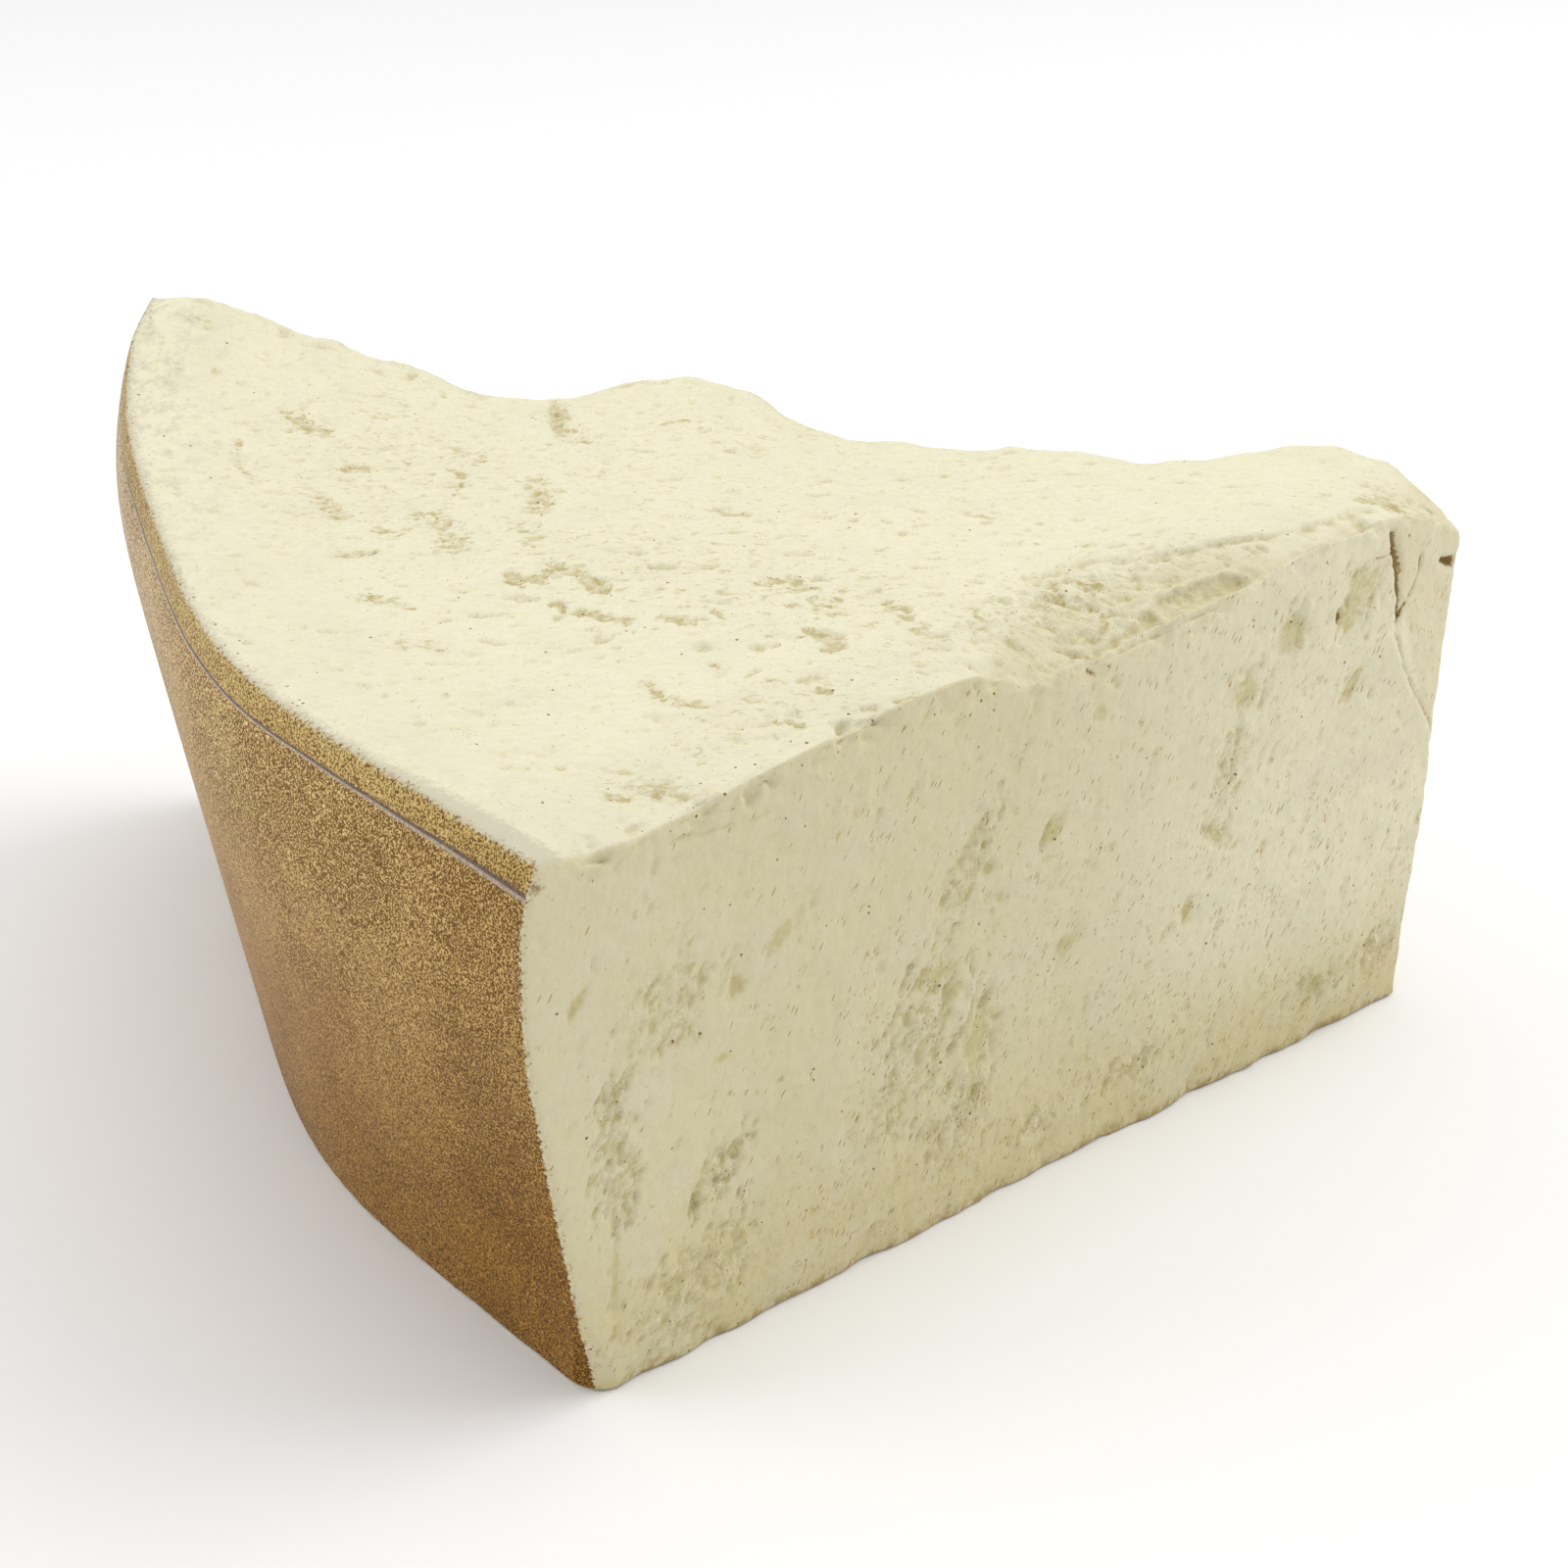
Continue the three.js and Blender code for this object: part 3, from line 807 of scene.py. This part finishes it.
def uneven_outline(skin):
    """The back edge is broken unevenly, and the back corner is full and rounded."""
    by_back = ramp(skin.past_back, -22, -2) * ramp(skin.along_back, 4, 20) * ramp(skin.z, 60, 104)
    wave_along, wave_in = BACK_WAVE
    places = np.stack([skin.along_back / wave_along, -skin.past_back / wave_in, skin.z * 0], 1)
    steps = layered(places, 3, 81, 0.45)
    skin.shift[:, 2] -= BACK_BITE * by_back * steps
    corner = np.exp(-(np.linalg.norm(skin.spot - CORNER_MIDDLE, axis=1) / CORNER_REACH) ** 2)
    skin.shift[:, 2] += CORNER_FULL * corner
    tip = np.linalg.norm(skin.spot - CORNER_TIP, axis=1)
    skin.shift += (CORNER_CUT * np.clip(1 - tip / CORNER_REACH, 0, 1) ** 1.5)[:, None] * CORNER_CUT_WAY


def worn_edges(skin):
    """The foot is uneven and worn at the rind, and the edge of the top has nicks."""
    wear = FOOT_WEAR * fade(skin.z, 1, 26) * fade(skin.y, 10, 25)
    cut_back = np.clip(wear - np.abs(skin.rind_inside), 0, None) / math.sqrt(2)
    skin.shift += cut_back[:, None] * np.array((0.71, 0.71, 0.0))
    at_foot = fade(skin.z, 0, 10) * fade(skin.y, 1, 14) * ramp(skin.x, 4, 20)
    skin.shift[:, 1] += FOOT_BITE * at_foot * (0.3 + layered(skin.spot * (1 / FOOT_WAVE, 0, 0), 4, 35, 0.6))
    nicks = np.clip(layered(skin.spot / NICK_SIZE, 3, 39, 0.7) + 0.1, 0, 1)
    at_edge = np.exp(-(skin.below_edge / EDGE_REACH) ** 2) * ramp(skin.x, 2, 12)
    at_edge *= 0.3 + 0.7 * fade(skin.x, 84, 104)  # fainter along the chip
    skin.shift += (EDGE_BITE * at_edge * nicks)[:, None] * np.array((0.0, 0.7, -0.7))


def smear_relief(skin):
    """Soft upright ridges on the near side, which lean over towards the tip, and on the back side."""
    lean = RIDGE_LEAN * ramp(skin.x, 100, 150)
    wide, high = RIDGE_SIZE
    ridges = layered(np.stack([(skin.x - lean * (skin.z - 50)) / wide, skin.z / high, skin.y * 0], 1), 3, 41)
    skin.sunk += RIDGE_DEPTH * skin.near * ramp(skin.x, 8, 30) * (0.3 - ridges)
    wide, high = BACK_RIDGE_SIZE
    ridges = layered(np.stack([skin.x / wide, skin.z / high, skin.y / wide], 1), 2, 43)
    skin.sunk += BACK_RIDGE_DEPTH * skin.back * (0.3 - ridges)


def seam(skin):
    """The groove that the mould's parting line leaves round the rind."""
    wobble = SEAM_WOBBLE * noise(skin.spot / SEAM_WAVE, 51)
    off = skin.below_lip - SEAM_BELOW_EDGE + wobble
    skin.sunk += SEAM_DEPTH * np.exp(-(off / SEAM_WIDTH) ** 2) * skin.rind
    skin.tint["seam_off"] = np.where(skin.rind_inside > 0, off * (1 - 0.45 * fade(skin.y, 0, 80)), 9.0)
    end = np.linalg.norm(skin.spot - SEAM_END, axis=1)
    skin.stain("brown", slice(None), 0.55 * np.exp(-(end / 1.7) ** 2))
    skin.tint["collar"] = skin.rind * fade(off, -1.2, 0)


def relief(skin):
    """All the relief, in the order in which it is laid down, and the form's own unevenness last."""
    general_relief(skin)
    smear_relief(skin)
    top = face_of(skin.x, skin.y, skin.top, TOP_SMEAR, 100)
    press_zones(skin, top, TOP_ZONES)
    tear_chip(skin)
    press_rough(skin, top, TOP_ROUGH, 110)
    press_lines(skin, top, TOP_LINES)
    press_hollows(skin, top, TOP_HOLLOWS, 0.0, "hollow")
    press_trails(skin, top, TOP_TRAILS)
    press_slits(skin, top, TOP_SLITS)
    press_slits(skin, top, [mark for mark in scatter(*TOP_SCATTER) if mark[0] > 16 + mark[1] * 0.12])
    near = face_of(skin.x, skin.z, skin.near, SIDE_SMEAR, 120)
    press_zones(skin, near, NEAR_ZONES)
    press_rough(skin, near, NEAR_ROUGH, 130)
    press_lines(skin, near, NEAR_LINES)
    press_hollows(skin, near, NEAR_HOLLOWS, 0.3, "pool")
    fresh_break_and_light(skin)
    press_slits(skin, near, NEAR_SLITS)
    press_slits(skin, near, scatter(*NEAR_SCATTER))
    back = face_of(skin.along_back, skin.z, skin.back, SIDE_SMEAR, 140)
    press_zones(skin, back, BACK_ZONES)
    press_hollows(skin, back, scatter(*BACK_HOLLOWS), 0.3, "pool")
    press_slits(skin, back, scatter(*BACK_SLITS))
    chisel(skin)
    wash_and_recess_shade(skin)
    seam(skin)
    uneven_outline(skin)
    worn_edges(skin)


def finish_body(body):
    """Takes the finished mesh from wedge axes to the part's frame."""
    body.data.transform(WEDGE_TO_PART)
    body.data.materials.append(painted_cast())
    body.data.shade_smooth()
    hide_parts(NODE)
    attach(body, "root")


# -------- Paint

class Paint:
    """A material whose nodes are added one call at a time."""

    def __init__(self, name):
        self.material = bpy.data.materials.new(name)
        self.material.use_nodes = True
        self.tree = self.material.node_tree
        self.surface = self.tree.nodes["Principled BSDF"]

    def add(self, kind, inputs=None, **settings):
        node = self.tree.nodes.new("ShaderNode" + kind)
        for name, value in settings.items():
            setattr(node, name, value)
        for name, value in (inputs or {}).items():
            self.feed(node.inputs[name], value)
        return node

    def feed(self, socket, value):
        if isinstance(value, bpy.types.NodeSocket):
            self.tree.links.new(value, socket)
        else:
            socket.default_value = value

    def mask(self, name):
        return self.add("Attribute", attribute_name=name).outputs["Fac"]

    def maths(self, operation, a, b=0.0, c=0.0):
        return self.add("Math", {0: a, 1: b, 2: c}, operation=operation).outputs[0]

    def times(self, a, b):
        return self.maths("MULTIPLY", a, b)

    def ramp(self, value, low, high, to_low=0.0, to_high=1.0):
        names = {"Value": value, "From Min": low, "From Max": high, "To Min": to_low, "To Max": to_high}
        return self.add("MapRange", names, interpolation_type="SMOOTHSTEP").outputs["Result"]

    def blend(self, share, a, b):
        node = self.add("Mix", data_type="RGBA")
        for name, value in (("Factor_Float", share), ("A_Color", a), ("B_Color", b)):
            socket = next(s for s in node.inputs if s.identifier == name)
            self.feed(socket, value)
        return next(s for s in node.outputs if s.identifier == "Result_Color")

    def noise(self, where, size, detail=2.0, roughness=0.5):
        inputs = {"Vector": where, "Scale": 1 / size, "Detail": detail, "Roughness": roughness}
        return self.add("TexNoise", inputs).outputs["Fac"]


def painted_cast():
    """Cream with a speckled rind, which meet in a fringe, and the mould's seam."""
    paint = Paint("painted_cast")
    part = paint.add("TexCoord").outputs["Object"]
    turned = paint.add("Mapping", {"Vector": part, "Scale": (1000, 1000, 1000),
                                   "Rotation": (0, 0, -CHORD_ANGLE)}).outputs[0]
    drawn = drawn_out(paint, turned)
    cream = cream_paint(paint, turned, drawn)
    rind = rind_paint(paint, turned)
    edge = paint.mask("rind_inside")
    fringe = paint.noise(turned, FRINGE_SIZE, 2.0, 0.7)
    covered = paint.maths("ADD", edge, paint.times(paint.maths("SUBTRACT", fringe, 0.5), 6.0))
    grey = paint.maths("MULTIPLY_ADD", paint.mask("by_corner"), 3.5, covered)
    grey = paint.times(paint.ramp(grey, -2.6, -0.4, 0.0, 0.6), paint.mask("top"))
    cream = paint.blend(grey, cream, FRINGE_GREY)
    coat = paint.ramp(covered, -0.6, 0.9)
    colour = paint.blend(coat, cream, rind)
    off = paint.mask("seam_off")
    # Painted highlight: a pale line just under the seam's dark line stands in for its lit lip.
    pale = paint.ramp(paint.maths("ABSOLUTE", paint.maths("ADD", off, -0.34)), 0.1, 0.3, 0.6, 0.0)
    colour = paint.blend(pale, colour, SEAM_HIGHLIGHT)
    dark = paint.ramp(paint.maths("ABSOLUTE", off), 0.12, 0.3, 0.85, 0.0)
    colour = paint.blend(dark, colour, SEAM_DARK)
    paint.feed(paint.surface.inputs["Base Color"], colour)
    paint.feed(paint.surface.inputs["Roughness"], paint.ramp(coat, 0, 1, 0.65, 0.5))
    paint.surface.inputs["Specular IOR Level"].default_value = 0.1
    scratches = paint.times(paint.noise(drawn, SCRATCH_SIZE, 3.0, 0.65), paint.mask("scratched"))
    height = paint.maths("MULTIPLY_ADD", paint.noise(turned, PEEL_SIZE, 2.0, 0.6), 0.3, scratches)
    bump = paint.add("Bump", {"Height": height, "Strength": 0.7, "Distance": BUMP_HEIGHT})
    paint.feed(paint.surface.inputs["Normal"], bump.outputs["Normal"])
    return paint.material


def drawn_out(paint, where):
    """The places of the cast, squeezed along the plane that holds the ways in which it was wiped."""
    stretch = (1.0, SMEAR_STRETCH, SMEAR_STRETCH)
    return paint.add("Mapping", {"Vector": where, "Rotation": WIPED_ACROSS, "Scale": stretch},
                     vector_type="TEXTURE").outputs[0]


def specks(paint, where, spacing, smallest, largest, share):
    """Specks at scattered places, their radius as a part of their spacing. A share of the places has one."""
    cell = paint.add("TexVoronoi", {"Vector": where, "Scale": 1 / spacing})
    pick = paint.add("SeparateColor", {"Color": cell.outputs["Color"]})
    size = paint.ramp(pick.outputs["Green"], 0.0, 1.0, smallest, largest)
    inside = paint.ramp(paint.maths("DIVIDE", cell.outputs["Distance"], size), 0.7, 1.1, 1.0, 0.0)
    return paint.times(inside, paint.maths("LESS_THAN", pick.outputs["Red"], share))


def cream_paint(paint, where, drawn):
    """Cream, olive in the hollows, with fine brown overspray; the sides are yellower from overspray and
    darker by painted shade.
    """
    # Painted light: faces that look up are painted lighter, the sides darker as painted shade.
    colour = paint.blend(paint.mask("up"), CREAM_SIDE_SPRAYED_AND_SHADED, CREAM_TOP)
    colour = paint.blend(paint.times(paint.mask("low_side"), 0.6), colour, CREAM_LOW)
    # Partly painted light: the near side is paler towards the tip, as if lit more strongly there, besides the
    # fresh break.
    colour = paint.blend(paint.mask("fresh_and_lit"), colour, CREAM_FRESH_AND_LIT)
    colour = paint.blend(paint.mask("dull"), colour, CREAM_DULL)
    worn = paint.noise(drawn, WORN_SIZE, 3.0, 0.75)
    fine = paint.noise(drawn, FINE_SIZE, 2.0, 0.6)
    smudge = paint.times(paint.mask("by_rind"), paint.ramp(fine, 0.4, 0.6, 0.5, 1.0))
    colour = paint.blend(smudge, colour, SMUDGE)
    colour = paint.blend(paint.ramp(fine, 0.35, 0.6, 0.09, 0.0), colour, OLIVE)
    pool = paint.ramp(paint.maths("MULTIPLY_ADD", worn, 2.0, paint.mask("pool")), 1.3, 1.9)
    pool = paint.times(pool, paint.ramp(fine, 0.35, 0.6, 0.25, 0.65))
    colour = paint.blend(pool, colour, OLIVE_PALE)
    # Olive-grey on the crumbly patches: partly a stain, partly painted shade between the crumbs.
    olive_stain_and_shade = paint.times(paint.mask("rough"), paint.ramp(worn, 0.5, 0.57, 0.0, 0.45))
    colour = paint.blend(olive_stain_and_shade, colour, OLIVE_GREY)
    # Painted highlights: pale cream spots on the crumbly patches stand in for lit crumbs.
    crumbs = paint.times(paint.mask("rough"), paint.ramp(worn, 0.4, 0.46, 0.6, 0.0))
    colour = paint.blend(crumbs, colour, CREAM_FRESH_AND_LIT)
    # Partly painted shade: olive in the recesses, besides the wash.
    wash_and_recess_shade = paint.times(paint.mask("recess"), paint.ramp(worn, 0.35, 0.6, 0.1, 0.5))
    colour = paint.blend(wash_and_recess_shade, colour, OLIVE)
    ragged = paint.maths("MULTIPLY_ADD", worn, 3.4, -1.75)
    hollow = paint.maths("ADD", paint.mask("hollow"), ragged)
    stain = paint.times(paint.ramp(hollow, 0.4, 0.85), paint.ramp(fine, 0.34, 0.56, 0.25, 0.85))
    stain = paint.times(stain, paint.mask("uneven"))
    colour = paint.blend(stain, colour, OLIVE)
    torn = paint.maths("MULTIPLY_ADD", paint.mask("torn"), 0.10, paint.noise(drawn, TORN_SIZE, 3.0, 0.7))
    colour = paint.blend(paint.ramp(torn, 0.63, 0.74, 0.0, 0.5), colour, OLIVE)
    brown = paint.maths("MULTIPLY_ADD", fine, 0.9, paint.maths("SUBTRACT", paint.mask("brown"), 0.45))
    colour = paint.blend(paint.ramp(brown, 0.3, 0.6, 0.0, 0.85), colour, CRACK_BROWN)
    foot = paint.times(paint.mask("foot"), paint.ramp(worn, 0.42, 0.58, 0.1, 0.6))
    colour = paint.blend(foot, colour, FLECK_TAN)
    streaks = paint.add("Mapping", {"Vector": where, "Rotation": (0, -math.radians(FLECK_SLANT), 0),
                                    "Scale": FLECK_STRETCH}, vector_type="TEXTURE").outputs[0]
    flecks = specks(paint, streaks, FLECK_SPACING, 0.12, 0.26, paint.mask("spray"))
    colour = paint.blend(paint.times(flecks, 0.95), colour, FLECK_TAN)
    crowded = paint.maths("MAXIMUM", paint.mask("dots"), paint.ramp(hollow, 0.3, 0.8, 0.0, 0.4))
    dots = specks(paint, where, DOT_SPACING, 0.08, 0.24, crowded)
    return paint.blend(paint.times(dots, 0.85), colour, FLECK_BROWN)


def rind_paint(paint, where):
    """Brown sprayed in fine speckles over gold, thicker towards the foot; paler and greyer far from the near
    side, partly thinner spray, partly a painted sheen.
    """
    low = paint.mask("low")
    far = paint.mask("far_rind")
    gold = paint.blend(low, RIND_GOLD, RIND_GOLD_LOW)
    # Painted sheen: the far rind is painted greyer and paler.
    gold = paint.blend(paint.times(far, 0.5), gold, RIND_FAR_SHEEN)
    brown = paint.blend(low, RIND_BROWN, RIND_BROWN_LOW)
    collar = paint.mask("collar")
    olive = paint.times(collar, paint.ramp(far, 0.0, 1.0, 0.5, 0.7))
    gold = paint.blend(olive, gold, COLLAR_GOLD)
    speckle = paint.noise(where, SPECKLE_SIZE, 2.0, 0.6)
    # Fewer brown speckles along the far rind and under the collar: partly thinner spray, partly a painted
    # sheen.
    sparse_and_sheen = paint.times(far, paint.maths("SUBTRACT", 1.0, collar))
    thin_and_sheen = paint.maths("MULTIPLY_ADD", collar, -0.04, paint.maths("MULTIPLY_ADD", sparse_and_sheen, -0.045, 0.03))
    cover = paint.maths("ADD", speckle, paint.maths("MULTIPLY_ADD", paint.mask("patches"), 0.03, thin_and_sheen))
    colour = paint.blend(paint.ramp(cover, 0.47, 0.53), gold, brown)
    colour = paint.blend(paint.mask("rosy"), colour, RIND_ROSY)
    grain = specks(paint, where, GRAIN_SPACING, 0.14, 0.36, paint.maths("MULTIPLY_ADD", low, -0.1, 0.4))
    pale = paint.blend(low, RIND_GRAIN, RIND_GRAIN_LOW)
    colour = paint.blend(paint.times(grain, 0.6), colour, pale)
    some = paint.maths("ADD", paint.ramp(far, 0.0, 1.0, 0.08, 0.5), paint.times(collar, 0.25))
    blots = specks(paint, where, BLOT_SPACING, 0.12, 0.34, some)
    return paint.blend(paint.times(blots, 0.8), colour, RIND_BROWN_LOW)


def paint_masks(skin):
    """Where each paint goes, and how much of it."""
    skin.tint["rind_inside"] = np.maximum(skin.rind_inside, np.where(skin.out @ UP < -0.985, 3.0, -30.0))
    skin.tint["top"] = skin.top
    skin.tint["by_corner"] = fade(skin.y, 5, 50)
    skin.tint["foot"] = (1 - skin.top) * fade(skin.z, 0.3, 3)
    skin.tint["scratched"] = 0.45 + 0.9 * skin.tint["torn"]
    # Painted light: how much a face looks up, for the lighter paint of the top.
    skin.tint["up"] = ramp(skin.out @ UP, 0.86, 0.985)
    skin.tint["low"] = np.clip(0.9 * fade(skin.z, 5, 95) + 0.35 * fade(skin.y, 5, 50), 0, 1)
    skin.tint["low_side"] = fade(skin.z, 0, 50) * (1 - skin.top)
    smudged = ramp(layered(skin.spot / SMUDGE_SIZE, 4, 61, 0.8), -0.05, 0.5)
    skin.tint["by_rind"] = smudged * ramp(skin.rind_inside, -26, -2) * (0.25 + 0.6 * ramp(skin.y, 110, 190))
    # How far along the rind: drives the painted sheen there, and the extra brown blots.
    skin.tint["far_rind"] = ramp(skin.y, 50, 210)
    middle = ramp(skin.y, 20, 90) * fade(skin.y, 110, 190)
    middle *= ramp(skin.z, 10, 40) * fade(skin.z, 70, 98)
    skin.tint["rosy"] = middle * (0.1 + 0.2 * ramp(layered(skin.spot / ROSY_SIZE, 2, 63), -0.25, 0.25))
    skin.tint["patches"] = ramp(layered(skin.spot / PATCH_SIZE, 2, 65), -0.5, 0.5) - 0.5
    skin.tint["uneven"] = 0.45 + 0.55 * ramp(layered(skin.spot / STAIN_SIZE, 3, 67, 0.7), -0.3, 0.3)
    to_foot = fade(skin.z, 0, 75)
    sides = skin.near * ramp(skin.x, 30, 75) + skin.back
    rough = skin.tint["rough"] * (0.4 + 0.6 * ramp(skin.x, 55, 80))
    crowded = 0.25 + 1.45 * ramp(layered(skin.spot / CROWD_SIZE, 3, 69, 0.6), -0.35, 0.35)
    spray = 0.06 + sides * (0.28 + 0.62 * to_foot) + 1.5 * rough * to_foot
    skin.tint["spray"] = np.clip(spray, 0, 0.95) * crowded
    by_edge = np.exp(-skin.below_edge / 6) * ramp(skin.x, 5, 30) * (0.2 + 0.8 * fade(skin.x, 70, 95))
    by_rind = ramp(skin.rind_inside, -45, -10) * fade(skin.y, 90, 190)
    mottled = (0.35 - 0.2 * skin.top) * ramp(layered(skin.spot / DULL_SIZE, 3, 59), -0.1, 0.6)
    skin.tint["dull"] = mottled + skin.top * (0.12 * by_rind + 0.25 * fade(skin.below_edge, 5, 30))
    fringe = ramp(skin.rind_inside, -7, -0.5) * (0.3 + 0.7 * skin.top)
    clusters = skin.tint["rough"] * ramp(skin.x, 60, 80) * to_foot
    skin.tint["dots"] = 0.03 + 0.3 * by_edge + 0.3 * fringe + 0.5 * clusters


# -------- Stage

def camera():
    """The photograph's camera."""
    back = Vector((math.sin(CAMERA_AZIMUTH) * math.cos(CAMERA_ELEVATION),
                   -math.cos(CAMERA_AZIMUTH) * math.cos(CAMERA_ELEVATION),
                   math.sin(CAMERA_ELEVATION)))
    right = Vector((0, 0, 1)).cross(back).normalized()
    turn = Matrix((right, back.cross(right), back)).transposed() @ Matrix.Rotation(CAMERA_ROLL, 3, "Z")
    data = bpy.data.cameras.new("camera")
    data.sensor_width = SENSOR
    data.lens = FOCAL_LENGTH
    data.clip_start = 0.01
    taker = bpy.data.objects.new("camera", data)
    taker.matrix_world = Matrix.LocRotScale(
        WEDGE_TO_PART @ CAMERA_SPOT, Matrix.Rotation(CHORD_ANGLE, 3, "Z") @ turn, None)
    bpy.context.scene.collection.objects.link(taker)
    bpy.context.scene.camera = taker


def floor():
    """A plain pale floor."""
    grid = bmesh.new()
    bmesh.ops.create_grid(grid, x_segments=1, y_segments=1, size=FLOOR_HALF)
    mesh = bpy.data.meshes.new("floor")
    grid.to_mesh(mesh)
    ground = bpy.data.objects.new("floor", mesh)
    bpy.context.scene.collection.objects.link(ground)
    ground.location.z = -0.0002  # just under the foot, so that the two do not flicker
    paint = bpy.data.materials.new("floor_paint")
    paint.use_nodes = True
    surface = paint.node_tree.nodes["Principled BSDF"]
    surface.inputs["Base Color"].default_value = FLOOR_GREY
    surface.inputs["Roughness"].default_value = 0.9
    mesh.materials.append(paint)


def softbox(name, spot, size, power):
    """A square lamp that shines on the chunk."""
    data = bpy.data.lights.new(name, "AREA")
    data.shape = "SQUARE"
    data.size = size
    data.energy = power
    lamp = bpy.data.objects.new(name, data)
    lamp.location = spot
    lamp.rotation_euler = (LIGHTS_AIM - spot).to_track_quat("-Z", "Y").to_euler()
    bpy.context.scene.collection.objects.link(lamp)


def light():
    """Soft studio light."""
    world = bpy.data.worlds.new("studio")
    bpy.context.scene.world = world
    world.use_nodes = True
    sky = world.node_tree.nodes["Background"]
    sky.inputs["Color"].default_value = (1, 1, 1, 1)
    sky.inputs["Strength"].default_value = SKY_STRENGTH
    for box in SOFTBOXES:
        softbox(*box)
    bpy.context.scene.view_settings.view_transform = "Standard"


cage = quad_cage(NODE)
body = rounded_body(cage)
skin = Skin(body, cage)
relief(skin)
paint_masks(skin)
skin.write()
finish_body(body)
camera()
floor()
light()
